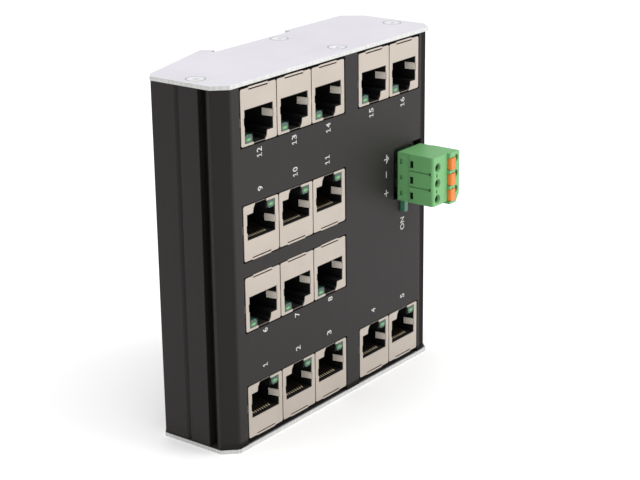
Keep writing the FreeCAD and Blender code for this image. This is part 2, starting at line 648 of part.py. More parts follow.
def build_plug_housing():
    """Green plug: body in front of the panel, narrower shank inside the header."""
    body = new_body("plug_housing")
    low, high = "pole_mid - plug_tall / 2", "pole_mid + plug_tall / 2"
    block = extrude(body, "body_block", "XZ", "plug_front", "plug_back - plug_front",
                    [rectangle("plug_left", "plug_right", low, high)])
    doc.recompute()
    corner = Vector(value("plug_left"), value("plug_front"), value("pole_mid"))
    rounding = body.newObject("PartDesign::Fillet", "front_rounding")
    rounding.Base = (block, edges_through(block.Shape, corner))
    rounding.setExpression("Radius", named("plug_round"))
    entries = ["pole_mid - entry_drop + pole_pitch * %d" % pole for pole in (-1, 0, 1)]
    bores = cut(body, "wire_bores", "XZ", "plug_front", "wire_deep",
                [facets("entry_across", up, "wire_radius", 8) for up in entries])
    doc.recompute()
    rims = []
    for up in entries:
        centre = Vector(value("entry_across"), value("plug_front"), value(up))
        for number, edge in enumerate(bores.Shape.Edges, start=1):
            if edge.CenterOfMass.distanceToPoint(centre) < value("wire_radius"):
                rims.append("Edge%d" % number)
    mouths = body.newObject("PartDesign::Chamfer", "entry_mouths")
    mouths.Base = (bores, rims)
    mouths.ChamferType = "Two distances"
    mouths.setExpression("Size", named("entry_flare"))
    mouths.setExpression("Size2", named("entry_deep"))
    guard = [("guard_left", low + " - 0.8"), ("plug_right - guard_cut", low + " - 0.8"),
             ("plug_right", low + " + guard_cut"), ("plug_right", high), ("guard_left", high)]
    extrude(body, "guard", "XZ", "guard_front", "plug_front - guard_front + 2.5", [guard])
    extrude(body, "shank", "XZ", "plug_back - 0.5", "shank_end - plug_back + 0.5",
            [rectangle("shank_left", "shank_right",
                       "pole_mid - shank_tall / 2", "pole_mid + shank_tall / 2")])
    for name, left in (("step_left", "plug_left - 1"), ("step_right", "plug_right - 0.35")):
        cut(body, name, "YZ", left, "1.35",
            [rectangle("plug_step", "plug_back", low + " - 1", high + " + 1")])
    first = "pole_mid - pole_pitch"
    seat_top = first + " - button_drop + button_tall / 2"
    cuts = [
        cut(body, "pin_socket", "XZ", "header_front + 1.7", "20", [rectangle(*pin_square("0.9"))]),
        cut(body, "button_slot", "XZ", "guard_front - 1", "button_back + 1.5 - guard_front + 1",
            [rectangle("button_left - button_gap", "button_right + button_gap",
                       seat_top + " - button_tall - button_gap", seat_top + " + button_gap")]),
        cut(body, "tool_notch", "XZ", "guard_front - 1", "6",
            [[("button_right", seat_top + " - 1.9"), ("button_right + 1.3", seat_top + " - 0.7"),
              ("button_right + 1.3", seat_top + " + 0.2"), ("button_right + 0.8", seat_top + " + 0.8"),
              ("button_right - 0.1", seat_top + " + 0.8")]]),
        cut(body, "rear_window", "YZ", "plug_left", "1.2",
            [rectangle("plug_back - 1.75", "plug_back - 0.65", first + " - 1.0", first + " + 0.6")]),
        cut(body, "side_window", "YZ", "plug_left - 1", "3",
            [[("plug_step - 1.3", first + " + 0.7"), ("plug_step - 0.9", first + " - 1.6"),
              ("plug_step - 0.3", first + " - 1.6"), ("plug_step - 0.2", first + " + 0.7")]]),
    ]
    repeat(body, "poles", cuts, "Z", "pole_pitch", 3)
    gap = "pole_mid - pole_pitch / 2"
    joints = [
        cut(body, "pole_groove", "YZ", "plug_left - 1", "1.35",
            [rectangle("plug_front + 1.4", "plug_step", gap + " - 0.22", gap + " + 0.22")]),
        cut(body, "pole_hole", "YZ", "plug_left - 1", "2.4",
            [rectangle("plug_front + 1.0", "plug_front + 1.8", gap + " - 0.45", gap + " + 0.45")]),
        cut(body, "front_slot", "XZ", "plug_front - 1", "2.5",
            [rectangle("entry_across - 0.8", "entry_across - 0.2",
                       gap + " - entry_drop - 0.6", gap + " - entry_drop + 0.6")]),
    ]
    repeat(body, "pole_joints", joints, "Z", "pole_pitch", 2)


def build_plug_contacts():
    """Square tube contacts round the header's pins."""
    tubes = []
    for pole in range(3):
        up = "pole_mid + pole_pitch * %d" % (pole - 1)
        across = "(shank_left + shank_right) / 2"
        name = "plug_contact_%d" % (pole + 1)
        outer = part_object("Box", name + "_outer", Length="1.7", Width="5.8", Height="1.7",
                            where=(across + " - 0.85", "shank_end - 6.0", up + " - 0.85"))
        inner = part_object("Box", name + "_inner", Length="1.3", Width="7.8", Height="1.3",
                            where=(across + " - 0.65", "shank_end - 7.0", up + " - 0.65"))
        tubes.append(join("Cut", name, [outer, inner]))
    parts.append(join("Compound", "plug_contacts", tubes))


def build_release_buttons():
    for pole in range(3):
        body = new_body("release_button_%d" % (pole + 1))
        up = "pole_mid + pole_pitch * %d - button_drop - button_tall / 2" % (1 - pole)
        plan = [("button_left", "button_back"), ("button_left", "button_front + 0.6"),
                ("button_left + 0.2", "button_front + 0.2"), ("button_left + 0.6", "button_front"),
                ("button_left + 1.5", "button_front"), ("button_left + 1.65", "button_front + 0.35"),
                ("button_left + 1.8", "button_front + 0.35"), ("button_left + 1.95", "button_front + 0.1"),
                ("button_right", "button_front + 0.4"), ("button_right", "button_back")]
        extrude(body, "stem", "XY", up, "button_tall", [plan])


# ---- board and what stands on it ---------------------------------------------------------

def build_board():
    body = new_body("main_board")
    extrude(body, "board", "XZ", "board_front", "board_thick",
            [rectangle("0 - board_half", "board_half", "plate_thick + 0.8",
                       "plate_thick + shell_height - 0.8")])
    hole = cut(body, "pin_hole", "XZ", "board_front - 1", "board_thick + 2",
               [rectangle(*pin_square("0.5"))])
    repeat(body, "pin_holes", [hole], "Z", "pole_pitch", 3)
    back = "board_front + board_thick"
    for label, across, up in (("switch_chip_a", "0 - 24", "66"), ("switch_chip_b", "0 - 24", "24")):
        chip = new_body(label)
        extrude(chip, "package", "XZ", back, "1.6",
                [rectangle(across, across + " + 20", up, up + " + 20")])
        extrude(chip, "heat_spreader", "XZ", back + " + 1.6", "0.6",
                [rectangle(across + " + 3", across + " + 17", up + " + 3", up + " + 17")])
    coil = part_object("Prism", "supply_inductor", Circumradius="6.5", Height="6",
                       where=("30", back, "88"))
    coil.Polygon = 8
    coil.Placement.Rotation = Rotation(Vector(1, 0, 0), -90)
    parts.append(coil)
    blocks = [part_object("Box", "supply_capacitor_%d" % number, Length="4.3", Width="2.9", Height="7.3",
                          where=("28", back, str(up))) for number, up in enumerate((58, 69), start=1)]
    parts.append(join("Compound", "supply_capacitors", blocks))


def build_power_led():
    body = new_body("power_led")
    face = "plate_front - 1.3"
    plan = [("led_left", "board_front"), ("led_left", face + " + 0.2"), ("led_left + 0.2", face),
            ("led_right - 0.2", face), ("led_right", face + " + 0.2"), ("led_right", "board_front")]
    extrude(body, "pipe", "XY", "led_low", "led_tall", [plan])


# ---- spring latch for the rail -----------------------------------------------------------

def build_rail_latch():
    """Flat slide with a ramped nose over the rail's lip, a guide slot and a spring window."""
    body = new_body("rail_latch")
    back = "latch_front + latch_thick"
    plan = [("slot_right + 0.4", "latch_front"), ("latch_end", "latch_front"),
            ("latch_end", back), ("slot_right + 2.4", back), ("slot_right + 1.0", "hook_back - 1.8"),
            ("nose_tip + 0.6", "hook_under + 1.0"), ("nose_tip", "hook_under + 0.6"),
            ("nose_tip", "hook_under - 0.1"), ("slot_right + 0.4", "hook_under - 0.1")]
    extrude(body, "slide", "XY", "latch_mid - latch_wide / 2", "latch_wide", [plan])
    slot = rectangle("guide_place - latch_travel - guide_radius - 0.15",
                     "guide_place + guide_radius + 0.15",
                     "latch_mid - guide_radius - 0.3", "latch_mid + guide_radius + 0.3")
    window = rectangle("spring_start", "spring_end + 2.2", "latch_mid - 2.2", "latch_mid + 2.2")
    tool_slot = rectangle("latch_end - 2.4", "latch_end - 1.0", "latch_mid + 3.4", "latch_mid + 8.0")
    cut(body, "openings", "XZ", "latch_front - 1", "latch_thick + 2", [slot, window, tool_slot])


def build_latch_spring():
    """Flat serpentine spring between the slide's window and the fixed stop.

    Five legs run across the slide's travel, joined at the top and the bottom in turn.
    """
    legs, bend = 5, " 0.5"
    low, high = "latch_mid - spring_wide / 2", "latch_mid + spring_wide / 2"

    def at(count):
        return "spring_start + 0.2 + (spring_end - spring_start - 0.4) / %d * %d" % (2 * legs - 1, count)

    left, right = [(at(0), low)], [(at(1), low)]
    for leg in range(0, legs - 1, 2):
        first = 2 * leg
        left += [(at(first), high), (at(first + 3), high),
                 (at(first + 3), low + " +" + bend), (at(first + 4), low + " +" + bend)]
        right += [(at(first + 1), high + " -" + bend), (at(first + 2), high + " -" + bend),
                  (at(first + 2), low), (at(first + 5), low)]
    left.append((at(2 * legs - 2), high))
    right.append((at(2 * legs - 1), high))
    body = new_body("latch_spring")
    extrude(body, "strip", "XZ", "latch_front + 0.2", "1.8", [left + right[::-1]])


def build_latch_screw():
    """Shoulder screw that holds the slide down and guides it."""
    shank = part_object("Cylinder", "latch_screw_shank", Radius="guide_radius", Height="4.4",
                        where=("guide_place", "inner_back", "latch_mid"))
    head = part_object("Prism", "latch_screw_head", Circumradius="guide_head", Height="1.5",
                       where=("guide_place", "latch_front + latch_thick + 0.1", "latch_mid"))
    for piece in (shank, head):
        piece.Placement.Rotation = Rotation(Vector(1, 0, 0), -90)
    parts.append(join("MultiFuse", "latch_screw", [shank, head]))


# ---- build, check and write --------------------------------------------------------------

def check_document():
    """Stop on any failed object, empty shape or pocket that removed nothing."""
    for thing in doc.Objects:
        if {"Invalid", "Error"} & set(thing.State):
            raise RuntimeError("%s failed: %s" % (thing.Name, thing.State))
        if thing.TypeId in ("PartDesign::Pocket", "PartDesign::Groove"):
            before = thing.BaseFeature.Shape.Volume
            if before - thing.Shape.Volume < 1e-4:
                raise RuntimeError("%s removes nothing" % thing.Name)
    for thing in parts:
        if thing.Shape.isNull() or not thing.Shape.isValid():
            raise RuntimeError("%s has no valid shape" % thing.Label)


build_front_cover()
build_rear_shell()
build_end_plate("top_end_plate", "plate_thick + shell_height", True)
build_end_plate("bottom_end_plate", "0", False)
build_plate_screws("top_plate_screws", "plate_thick * 2 + shell_height", True)
build_plate_screws("bottom_plate_screws", "0", False)
build_jacks()
build_header()
build_header_pins()
build_plug_housing()
build_plug_contacts()
build_release_buttons()
build_board()
build_power_led()
build_rail_latch()
build_latch_spring()
build_latch_screw()
doc.recompute()
check_document()

os.makedirs("parts", exist_ok=True)
for thing in parts:
    thing.Shape.exportStep("parts/%s.step" % thing.Label)
    box = thing.Shape.BoundBox
    print("%-24s %2d solid(s) %9.2f mm3  X %7.2f %7.2f  Y %7.2f %7.2f  Z %7.2f %7.2f" % (
        thing.Label, len(thing.Shape.Solids), thing.Shape.Volume,
        box.XMin, box.XMax, box.YMin, box.YMax, box.ZMin, box.ZMax))
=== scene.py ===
# %% [markdown]
# # A sixteen-port network switch for a DIN rail
#
# The switch is a black anodised extrusion with bare aluminium end plates. Sixteen shielded
# jacks look out of its front, beside a green supply plug with orange release buttons. The
# solids already have the real shapes, so this lesson loads them, softens their edges, finishes
# a few small openings in the plug, gives each solid its finish, prints the lettering and lights
# the whole. The first cell loads the solids.

# %% Load the solids
import json
import math
import bmesh
import bpy
from mathutils import Matrix, Vector

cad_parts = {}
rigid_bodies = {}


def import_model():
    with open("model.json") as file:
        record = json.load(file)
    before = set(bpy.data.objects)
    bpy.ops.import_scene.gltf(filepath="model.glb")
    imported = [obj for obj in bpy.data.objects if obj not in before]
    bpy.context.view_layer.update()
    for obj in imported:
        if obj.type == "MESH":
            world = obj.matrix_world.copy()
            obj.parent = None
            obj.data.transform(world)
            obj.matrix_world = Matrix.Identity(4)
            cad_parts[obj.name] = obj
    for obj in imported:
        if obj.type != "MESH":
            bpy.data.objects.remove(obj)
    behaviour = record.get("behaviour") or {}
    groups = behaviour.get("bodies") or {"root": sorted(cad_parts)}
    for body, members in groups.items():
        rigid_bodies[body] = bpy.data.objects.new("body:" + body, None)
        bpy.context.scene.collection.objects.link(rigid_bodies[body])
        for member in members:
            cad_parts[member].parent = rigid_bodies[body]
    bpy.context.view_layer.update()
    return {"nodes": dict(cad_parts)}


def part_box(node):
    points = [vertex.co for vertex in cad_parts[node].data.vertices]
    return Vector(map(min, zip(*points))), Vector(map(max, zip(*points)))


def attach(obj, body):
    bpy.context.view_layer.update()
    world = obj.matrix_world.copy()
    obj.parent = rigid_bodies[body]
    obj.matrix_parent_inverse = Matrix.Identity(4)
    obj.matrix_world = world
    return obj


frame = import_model()
nodes = frame["nodes"]
scene = bpy.context.scene
MM = 0.001


# %% [markdown]
# ## Sockets that can be added and multiplied
#
# A finish is a sum of small masks: a bit of grain, a bit of wear, a darker rim. Drawn by hand
# that is a web of Math nodes. A small class that wraps one socket and overloads the operators
# lets the same web be written as an ordinary sum. The reflected forms make 1 - mask work too.
# Every other node comes from one method, which takes its type, its settings and its inputs.

# %% A socket with operators
class Wire:
    """One output socket of a finish, usable in Python sums."""

    def __init__(self, finish, socket):
        self.finish, self.socket = finish, socket

    def sum(self, operation, *values):
        """A Math node on wires and numbers."""
        return self.finish.node("Math", {"operation": operation}, dict(enumerate(values)))

    def __add__(self, other):
        return self.sum("ADD", self, other)

    def __sub__(self, other):
        return self.sum("SUBTRACT", self, other)

    def __rsub__(self, other):
        return self.sum("SUBTRACT", other, self)

    def __mul__(self, other):
        return self.sum("MULTIPLY", self, other)

    __radd__, __rmul__ = __add__, __mul__

    def __pow__(self, other):
        return self.sum("POWER", self, other)


# %% A finish and its one node maker
class Finish:
    """A material whose nodes are made by one method and whose constants are set on its shader."""

    def __init__(self, name, **constants):
        self.material = bpy.data.materials.new(name)
        self.material.use_nodes = True
        self.tree = self.material.node_tree
        self.shader = self.tree.nodes["Principled BSDF"]
        for socket, amount in constants.items():
            self.shader.inputs[socket.replace("_", " ")].default_value = amount
        self.place = self.node("TexCoord", output="Object")

    def feed(self, node, name, value):
        """Link a wire to a node's input, or set the input to a plain value."""
        live = [socket for socket in node.inputs if socket.enabled]
        target = live[name] if isinstance(name, int) else next(s for s in live if s.name == name)
        if isinstance(value, Wire):
            self.tree.links.new(value.socket, target)
        else:
            target.default_value = value

    def node(self, kind, settings=None, inputs=None, output=None):
        """Any node: its type, then its settings, then the values or wires of its inputs."""
        made = self.tree.nodes.new("ShaderNode" + kind)
        for name, value in (settings or {}).items():
            setattr(made, name, value)
        for name, value in (inputs or {}).items():
            self.feed(made, name, value)
        live = [socket for socket in made.outputs if socket.enabled]
        return Wire(self, next(s for s in live if output in (None, s.name)))

    def surface(self, **inputs):
        """Feed what varies over the surface to the shader."""
        for name, value in inputs.items():
            self.feed(self.shader, name.replace("_", " "), value)

    def mix_in(self, second, factor):
        """Show a second shader where the factor is one."""
        first = Wire(self, self.shader.outputs["BSDF"])
        mixed = self.node("MixShader", None, {0: factor, 1: first, 2: second})
        self.feed(self.tree.nodes["Material Output"], "Surface", mixed)


# %% [markdown]
# ## Masks that every finish shares
#
# All masks read the object's own coordinates. Every solid keeps the frame of the whole switch,
# in metres, so a grain that runs along Z on the cover runs on unbroken into the shell, and
# nothing swims when a piece moves. Stretching the coordinates before a noise turns its spots
# into streaks, which is how drawn, rolled and brushed metal look.

# %% Grain and colour
def speckle(finish, per_mm, stretch=(1, 1, 1), detail=2.0):
    """Soft noise from 0 to 1, with so many spots a millimetre along each stretched axis."""
    drawn = finish.node("VectorMath", {"operation": "MULTIPLY"}, {0: finish.place, 1: stretch})
    return finish.node("TexNoise", {"noise_dimensions": "3D"},
                       {"Vector": drawn, "Scale": per_mm / MM, "Detail": detail}, "Fac")


def blend(finish, mask, first, second):
    """Colour that goes from the first to the second with the mask."""
    first, second = (c if isinstance(c, Wire) else (*c, 1) for c in (first, second))
    return finish.node("Mix", {"data_type": "RGBA"}, {"Factor": mask, "A": first, "B": second},
                       "Result")


def bump(finish, height, depth_mm, strength=1.0, rounded_mm=0.0):
    """Normal from a height between 0 and 1 of so many millimetres, with rounded edges if asked."""
    inputs = {"Strength": strength, "Distance": depth_mm * MM, "Height": height}
    if rounded_mm:
        inputs["Normal"] = finish.node("Bevel", {"samples": 8}, {"Radius": rounded_mm * MM})
    return finish.node("Bump", None, inputs)


# %% [markdown]
# Other masks depend on where a point is or which way it faces: a foot near the floor, the cut
# edge of a sheet, the ring about a screw. They read one axis of the place or of the normal and
# pass it through a smooth step. Naming the two ends of each step in millimetres keeps such a
# mask readable, and swapping the two ends turns it over.

# %% Place and direction
def along(finish, axis):
    """The place along one axis, in millimetres."""
    return finish.node("SeparateXYZ", None, {"Vector": finish.place}, axis) * (1 / MM)


def facing(finish, axis):
    """How far the surface faces along an axis, from -1 to 1, in the object's own frame."""
    normal = finish.node("TexCoord", output="Normal")
    return finish.node("SeparateXYZ", None, {"Vector": normal}, axis)


def ramp(finish, value, start, full):
    """Nought up to the start and one from the full end on, with a smooth step between them."""
    return finish.node("MapRange", {"interpolation_type": "SMOOTHSTEP"},
                       {"Value": value, "From Min": start, "From Max": full}, "Result")


def past(finish, axis, levels):
    """Nought before the first of two levels on an axis and one past the second."""
    return ramp(finish, along(finish, axis), *levels)


def apart(value, middle):
    """The square of the distance of a value from a middle."""
    off = value - middle
    return off * off


# %% [markdown]
# Both end plates have four countersunk screws in the same places. Where a screw's head meets the
# plate there is a thin gap in shade, too narrow to show by itself. A ring of painted shade about
# each screw's middle paints it wider, once on the plate and once on the head. Comparing squares
# of distances saves a root.

# %% Rings about the screws
SCREW_PLACES = ((-47.1, 1.8), (47.1, 1.8), (7.9, -5.7), (7.9, 16.3))
RING_BLUR = 0.12


def screw_ring(finish, inner, outer):
    """One between two radii about each of the end plates' four screws, nought elsewhere."""
    x, y = along(finish, "X"), along(finish, "Y")
    reaches = [apart(x, across) + apart(y, back) for across, back in SCREW_PLACES]
    return sum(ramp(finish, reach, inner ** 2, (inner + RING_BLUR) ** 2)
               * ramp(finish, reach, outer ** 2, (outer - RING_BLUR) ** 2) for reach in reaches)


# %% [markdown]
# ## Edges
#
# No real edge is perfectly sharp: a die rounds an extrusion's corners, a press rounds sheet,
# and a mould rounds plastic. The light that catches these roundings is what tells the eye how
# big a thing is. Modelling each by hand would be slow and would change the solids, while a
# bevel modifier rounds only the edges that turn by more than a set angle and leaves the solids
# as they are. The solids arrive with their faces apart, though, and a bevel sees no edge between
# loose faces, so a weld modifier joins them first. Weighted normals then keep the flats flat.

# %% Finishes and edges onto solids
JOIN = 0.02


def paint(finish, *starts):
    """Put a finish on every solid whose name starts with one of the given words."""
    found = [node for name, node in nodes.items() if name.startswith(starts)]
    for node in found:
        node.data.materials.clear()
        node.data.materials.append(finish.material)
    print(finish.material.name, "on", len(found), "solids")
    return found


def join_faces(thing):
    """Join the faces of a solid along their common edges."""
    joined = thing.modifiers.new("joined_faces", "WELD")
    joined.merge_threshold = JOIN * MM


def soften(things, width_mm, segments=2, angle=40, clamp=True):
    """Join the faces of solids, then round the sharp edges by a small width."""
    for thing in things:
        for polygon in thing.data.polygons:
            polygon.use_smooth = True
        join_faces(thing)
        round_over = thing.modifiers.new("edge_round", "BEVEL")
        round_over.width = width_mm * MM
        round_over.segments = segments
        round_over.limit_method = "ANGLE"
        round_over.angle_limit = math.radians(angle)
        round_over.use_clamp_overlap = clamp
        flats = thing.modifiers.new("flat_normals", "WEIGHTED_NORMAL")
        flats.keep_sharp = True
    print("edges rounded by", width_mm, "mm on", len(things), "solids")


# %% [markdown]
# ## The black extrusion
#
# The cover and the shell are extruded aluminium, anodised black. Anodising is dull and almost
# without colour, yet the metal under it keeps the die's lines, which run along Z. So the finish
# is a dark base with streaks that are very long along Z and very narrow across it. They change
# the roughness and a shallow bump more than the colour. A slow cloudiness over some centimetres
# stands for the uneven bath, and painted light brightens the case from its left side towards
# the front panel's right side.

# %% Anodised finish
PAINTED_LIGHT_SPAN = (-52, 44)
BLACK_LEFT, BLACK_RIGHT = (0.0150, 0.0125, 0.0118), (0.0170, 0.0145, 0.0140)
anodised = Finish("anodised_black", Specular_IOR_Level=0.22)
die_lines = speckle(anodised, 1.6, (1, 1, 0.012), 3.0)
bath = speckle(anodised, 0.035, detail=3.0)
pores = speckle(anodised, 9.0)
# Painted light: the ramp along X darkens the left side and brightens the front panel towards its
# right.
shade = bath * 0.35 + die_lines * 0.3 + past(anodised, "X", PAINTED_LIGHT_SPAN) * 0.45
anodised.surface(
    Base_Color=blend(anodised, shade, BLACK_LEFT, BLACK_RIGHT),
    Roughness=die_lines * 0.12 + pores * 0.08 + 0.40,
    Normal=bump(anodised, die_lines * 0.7 + pores * 0.3, 0.006))

# %% [markdown]
# Three parts of the front stand at a slant to the panel or close to the floor: the lip at its
# right edge, the bevel at its left and the strip at its foot. In a white studio they mirror the
# sky and the floor and come out paler than on the real case. Darker paint alone doesn't stop a
# reflection, so a second shader with hardly any shine is mixed in there. Its colour is painted
# shade, darkest towards the lip's right end and at the foot, where the real case mirrors darker
# surroundings. Masks on X and Z find the three parts, and one on Y keeps them to the front of
# the case.

# %% Matt strips of the case
FRONT_LEVELS = (-6.9, -7.2)
FOOT_LEVELS = (3.4, 2.4)
LIP_LEVELS = (43.6, 45.2)
BEVEL_LEVELS = (-47.9, -48.3)
LIP_FADE = (44.0, 48.5)
MATT_LIGHT, MATT_DARK = (0.024, 0.0215, 0.0205), (0.013, 0.0115, 0.011)
right_lip = past(anodised, "X", LIP_LEVELS)
left_bevel = past(anodised, "X", BEVEL_LEVELS)
near_floor = past(anodised, "Z", FOOT_LEVELS)
# Painted shade: the matt colour darkens towards the lip's right end and at the foot.
painted_shade_tone = past(anodised, "X", LIP_FADE) + near_floor
matt = anodised.node("BsdfPrincipled", None, {
    "Base Color": blend(anodised, painted_shade_tone, MATT_LIGHT, MATT_DARK),
    "Roughness": 0.9, "Specular IOR Level": 0.02})
foot = near_floor * (1 - left_bevel) * (1 - right_lip)
strips = right_lip + left_bevel * 0.55 + foot * 0.95
anodised.mix_in(matt, past(anodised, "Y", FRONT_LEVELS) * strips)
soften(paint(anodised, "front_cover", "rear_shell"), 0.16)

# %% [markdown]
# ## Bare end plates
#
# The end plates are stamped from rolled sheet and left bare. Rolling leaves a fine grain in one
# direction, here along X, and the sheared edges are greyer than the faces. The normal tells the
# edges from the faces: where it doesn't point up or down, the surface is a cut edge. Handling
# adds a few faint cloudy marks, which change the tint a little and how sharply the sheet
# reflects. The lower plate's upper face lies in the dark of the case, apart from its front rim,
# so it is painted dark there, as are the rings where the plates meet their screws.

# %% Bare aluminium finish
LOWER_PLATE_LEVELS = (2.0, 1.4)
INSIDE_CASE = (-11.25, -10.6)
PLATE_RING = (2.62, 3.0)
SHEAR_DARK, SHEAR_LIGHT = (0.52, 0.525, 0.51), (0.62, 0.62, 0.61)
PLATE_DARK, PLATE_LIGHT = (0.70, 0.685, 0.735), (0.80, 0.785, 0.83)
PLATE_SHADE = (0.05, 0.045, 0.045)
bare = Finish("bare_aluminium", Specular_IOR_Level=0.5)
grain = speckle(bare, 2.2, (0.02, 1, 1), 4.0)
marks = speckle(bare, 0.06, detail=4.0)
flat_face = ramp(bare, facing(bare, "Z") ** 2, 0.3, 0.9)
shear_lines = ramp(bare, speckle(bare, 1.4, (1, 1, 0.08), 2.0), 0.35, 0.7)
sheared = blend(bare, shear_lines, SHEAR_DARK, SHEAR_LIGHT)
rolled = blend(bare, grain * 0.5 + marks * 0.4, PLATE_DARK, PLATE_LIGHT)
looks_up = ramp(bare, facing(bare, "Z"), 0.3, 0.8)
shaded = past(bare, "Z", LOWER_PLATE_LEVELS) * looks_up * past(bare, "Y", INSIDE_CASE)
dark = shaded * 0.97 + screw_ring(bare, *PLATE_RING) * 0.55
bare.surface(
    Base_Color=blend(bare, dark, blend(bare, flat_face, sheared, rolled), PLATE_SHADE),
    Metallic=0.55 + flat_face * 0.1,
    Roughness=grain * 0.14 + marks * 0.12 + 0.34,
    Normal=bump(bare, grain, 0.004))
soften(paint(bare, "top_end_plate", "bottom_end_plate"), 0.09)

# %% [markdown]
# ## Screws, latch and spring
#
# The small steel parts are zinc plated, which is a bluish white metal with a slight bloom. One
# function makes their three finishes: a metal with fine spots in its roughness and a faint
# change of tint. The stamped latch was brushed along its slide, so its finish has long scratches
# along X. The spring is cut from sheet, so its marks run through its thickness, along Y. The
# ring darkens the rims of the plates' screws.

# %% Zinc-plated finishes
ZINC_DULL, ZINC_BRIGHT, RIM_SHADE = (0.86, 0.87, 0.90), (1.0, 1.0, 1.02), (0.06, 0.05, 0.055)
HEAD_RING = (2.42, 2.9)


def zinc(name, stretch, tone, metal):
    """Zinc plating over steel, with its grain drawn out by the stretch."""
    finish = Finish(name, Metallic=metal)
    scratches = speckle(finish, 1.8, stretch, 4.0)
    bloom = speckle(finish, 0.35, detail=3.0)
    dull, bright = ([tone * c for c in tint] for tint in (ZINC_DULL, ZINC_BRIGHT))
    plated = blend(finish, bloom * 0.7 + scratches * 0.3, dull, bright)
    finish.surface(
        # The ring is painted shade at the rims of the plates' screws.
        Base_Color=blend(finish, screw_ring(finish, *HEAD_RING) * 0.36, plated, RIM_SHADE),
        Roughness=scratches * 0.18 + bloom * 0.14 + 0.24,
        Normal=bump(finish, scratches, 0.005))
    return finish


screw_steel = zinc("screw_steel", (1, 1, 1), 0.9, 0.6)
latch_steel = zinc("latch_steel", (0.03, 1, 1), 0.6, 0.9)
spring_steel = zinc("spring_steel", (1, 0.05, 1), 0.45, 1.0)
soften(paint(screw_steel, "top_plate_screws", "bottom_plate_screws", "latch_screw"), 0.07)
soften(paint(latch_steel, "rail_latch"), 0.2, 3)
soften(paint(spring_steel, "latch_spring"), 0.05)

# %% [markdown]
# ## Jack shields
#
# Each jack sits in a folded shield of thin sheet, plated with satin nickel, which is warmer than
# zinc. The face that shows is flat, so it needs fine variation to look like metal: a short grain
# along Z and a slow change of tint. Behind the face, the shield's inner side is in deep shade
# and is painted dark. Its two spring fingers catch light from the room, though, and stand out
# bright, so a mask about the height of each row's fingers makes them pale and less metallic.
# The sheet is thin, so its edges are rounded by one narrow facet only.

# %% Nickel finish
BEHIND_FACE = (-11.1, -10.8)
FINGER_LEVELS = (97.95, 66.83, 43.17, 12.25)
FINGER_BAND = (1.6, 1.3)
NICKEL_DULL, NICKEL_BRIGHT = (0.385, 0.337, 0.29), (0.495, 0.437, 0.385)
NICKEL_SHADE, FINGER_LIT = (0.04, 0.037, 0.034), (0.92, 0.84, 0.74)
nickel = Finish("shield_nickel", Specular_IOR_Level=0.5)
draw_marks = speckle(nickel, 1.5, (1, 1, 0.15), 3.0)
tint = speckle(nickel, 0.12, detail=3.0)
inner_side = past(nickel, "Y", BEHIND_FACE)
height = along(nickel, "Z")
fingers = inner_side * sum(ramp(nickel, apart(height, level), *FINGER_BAND)
                           for level in FINGER_LEVELS)
plated = blend(nickel, tint * 0.7 + draw_marks * 0.3, NICKEL_DULL, NICKEL_BRIGHT)
unlit = blend(nickel, inner_side, plated, NICKEL_SHADE)
nickel.surface(
    Base_Color=blend(nickel, fingers, unlit, FINGER_LIT),
    Metallic=0.55 + tint * 0.1 - fingers * 0.4,
    Roughness=draw_marks * 0.14 + tint * 0.1 + 0.33,
    Normal=bump(nickel, draw_marks, 0.004))
jacks = ["jack_%02d_" % number for number in range(1, 17)]
soften(paint(nickel, *(jack + "shield" for jack in jacks)), 0.05, 1, 50, clamp=False)

# %% [markdown]
# ## Jack mouldings, header and contacts
#
# Inside each shield is a black moulding that holds eight sprung contacts. Glass-filled plastic
# has a slight sparkle and a soft, uneven gloss, so the black gets a fine bump and a roughness
# that wanders. The mouldings deep in the jacks get less shine than the header and the chips.

# %% Black mouldings
def black_moulding(name, tone, gloss, shine=0.4):
    """Black plastic with a fine moulded texture."""
    finish = Finish(name, Specular_IOR_Level=shine)
    texture = speckle(finish, 5.0, detail=3.0)
    flow = speckle(finish, 0.2, detail=2.0)
    dull, bright = [tone * 0.7] * 3, [tone * 1.2, tone * 1.2, tone * 1.15]
    finish.surface(
        Base_Color=blend(finish, flow * 0.6 + texture * 0.4, dull, bright),
        Roughness=gloss + texture * 0.12 + flow * 0.1,
        Normal=bump(finish, texture, 0.012, 0.6))
    return finish


paint(black_moulding("insert_black", 0.006, 0.55, 0.15), *(jack + "insert" for jack in jacks))
soften(paint(black_moulding("header_black", 0.02, 0.42), "power_header"), 0.1)
chip_black = black_moulding("chip_black", 0.03, 0.55)
soften(paint(chip_black, "switch_chip", "supply_inductor"), 0.12)

# %% [markdown]
# The contacts and the header's pins are gold flashed. Plugs rub them bright at the tips, while
# their sides and the length behind the tips lie in the shade of the jack. The normal's X part
# finds the sides, and the depth behind the panel finds the rest, so both are painted dark.

# %% Gold contacts
BEHIND_TIPS = (-9.35, -8.7)
GOLD_RED, GOLD_RUBBED, GOLD_SHADE = (0.72, 0.56, 0.30), (0.95, 0.86, 0.66), (0.020, 0.016, 0.011)
gold = Finish("contact_gold")
rubbed = speckle(gold, 1.2, (1, 0.2, 1), 2.0)
in_shade = past(gold, "Y", BEHIND_TIPS) + facing(gold, "X") ** 2
gold.surface(
    Base_Color=blend(gold, in_shade, blend(gold, rubbed, GOLD_RED, GOLD_RUBBED), GOLD_SHADE),
    Metallic=0.6 + rubbed * 0.15,
    Roughness=0.42 - rubbed * 0.14)
paint(gold, "port_contacts", "header_pins", "plug_contacts")
